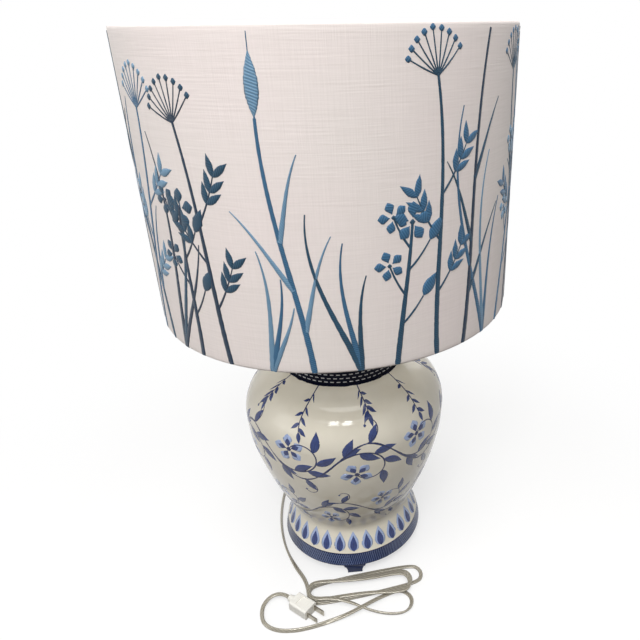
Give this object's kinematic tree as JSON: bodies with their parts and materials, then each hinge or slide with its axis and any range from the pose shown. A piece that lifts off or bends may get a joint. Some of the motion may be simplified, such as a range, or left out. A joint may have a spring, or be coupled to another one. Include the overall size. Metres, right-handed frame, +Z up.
{
  "type": "table lamp",
  "caption": "Ceramic temple-jar table lamp with a linen drum shade on a harp, a turn-knob socket with a bulb, a footed stand and a loosely gathered mains lead with its plug.",
  "frame": {"origin": "on the table, at the foot of the lamp's upright axis", "axes": "+Z up along the lamp's axis, -Y towards the front with the switch knob, +X to the right seen from the front"},
  "size_m": [0.406, 0.406, 0.6816],
  "materials": {
    "linen": "woven linen with satin-stitch embroidery",
    "shade_lining": "matt white styrene",
    "shade_wire": "white enamel",
    "jar_glaze": "glossy clear glaze over blue painting",
    "stand_glaze": "glossy navy glaze",
    "felt": "pressed felt",
    "steel": "zinc plated",
    "brass": "satin lacquered",
    "fibre": "pressed paper sleeve",
    "phenolic": "moulded",
    "bulb_glass": "frosted",
    "aluminium": "rolled",
    "cord_vinyl": "clear vinyl over silver strands",
    "plug_vinyl": "moulded vinyl",
    "blade_metal": "nickel plated",
    "rubber": "moulded"
  },
  "bodies": {
    "base": {"base_stand": "stand_glaze", "felt_pads": "felt", "jar_body": "jar_glaze", "jar_floor": "jar_glaze", "jar_lid": "jar_glaze", "lamp_rod": "steel", "rod_washer": "steel", "rod_nut": "steel", "brass_neck": "brass", "harp_saddle": "brass", "harp_wire": "brass", "harp_block": "brass", "socket_cap": "brass", "cap_screw": "steel", "socket_shell": "brass", "socket_insulator": "fibre", "socket_body": "phenolic", "terminal_screws": "brass", "screw_shell": "brass", "centre_contact": "brass", "cord_bushing": "rubber", "inner_cord": "cord_vinyl", "cord_lead": "cord_vinyl", "cord_hank": "cord_vinyl", "cord_tail": "cord_vinyl", "plug_body": "plug_vinyl", "plug_blades": "blade_metal"},
    "shade": {"harp_stud": "brass", "spider_frame": "shade_wire", "bottom_ring": "shade_wire", "shade_cover": "linen", "shade_liner": "shade_lining"},
    "finial_carrier": {"finial_washer": "brass"},
    "finial_nut": {"finial": "brass"},
    "switch": {"switch_shaft": "brass", "switch_knob": "phenolic"},
    "bulb": {"bulb_glass": "bulb_glass", "bulb_cap": "aluminium", "bulb_tip": "steel"},
    "left_sleeve": {"harp_sleeve_left": "brass"},
    "right_sleeve": {"harp_sleeve_right": "brass"}
  },
  "joints": [
    {"name": "shade_swivel", "type": "hinge", "parent": "base", "child": "shade", "pos_m": [0, 0, 0.656], "axis": [0, 0, 1], "continuous": true},
    {"name": "finial_rise", "type": "slide", "parent": "shade", "child": "finial_carrier", "axis": [0, 0, 1], "range_m": [0, 0.013]},
    {"name": "finial_turn", "type": "hinge", "parent": "finial_carrier", "child": "finial_nut", "pos_m": [0, 0, 0.6616], "axis": [0, 0, 1], "range_deg": [0, 4970]},
    {"name": "knob_turn", "type": "hinge", "parent": "base", "child": "switch", "pos_m": [0, -0.0199, 0.434], "axis": [0, -1, 0], "continuous": true},
    {"name": "bulb_unscrew", "type": "slide", "parent": "base", "child": "bulb", "axis": [0, 0, 1], "range_m": [0, 0.026]},
    {"name": "left_sleeve_lift", "type": "slide", "parent": "base", "child": "left_sleeve", "axis": [0, 0, 1], "range_m": [0, 0.012]},
    {"name": "right_sleeve_lift", "type": "slide", "parent": "base", "child": "right_sleeve", "axis": [0, 0, 1], "range_m": [0, 0.012]}
  ],
  "couplings": [
    {"joint": "finial_rise", "follows": "finial_turn", "m_per_rad": 0.00014972}
  ]
}
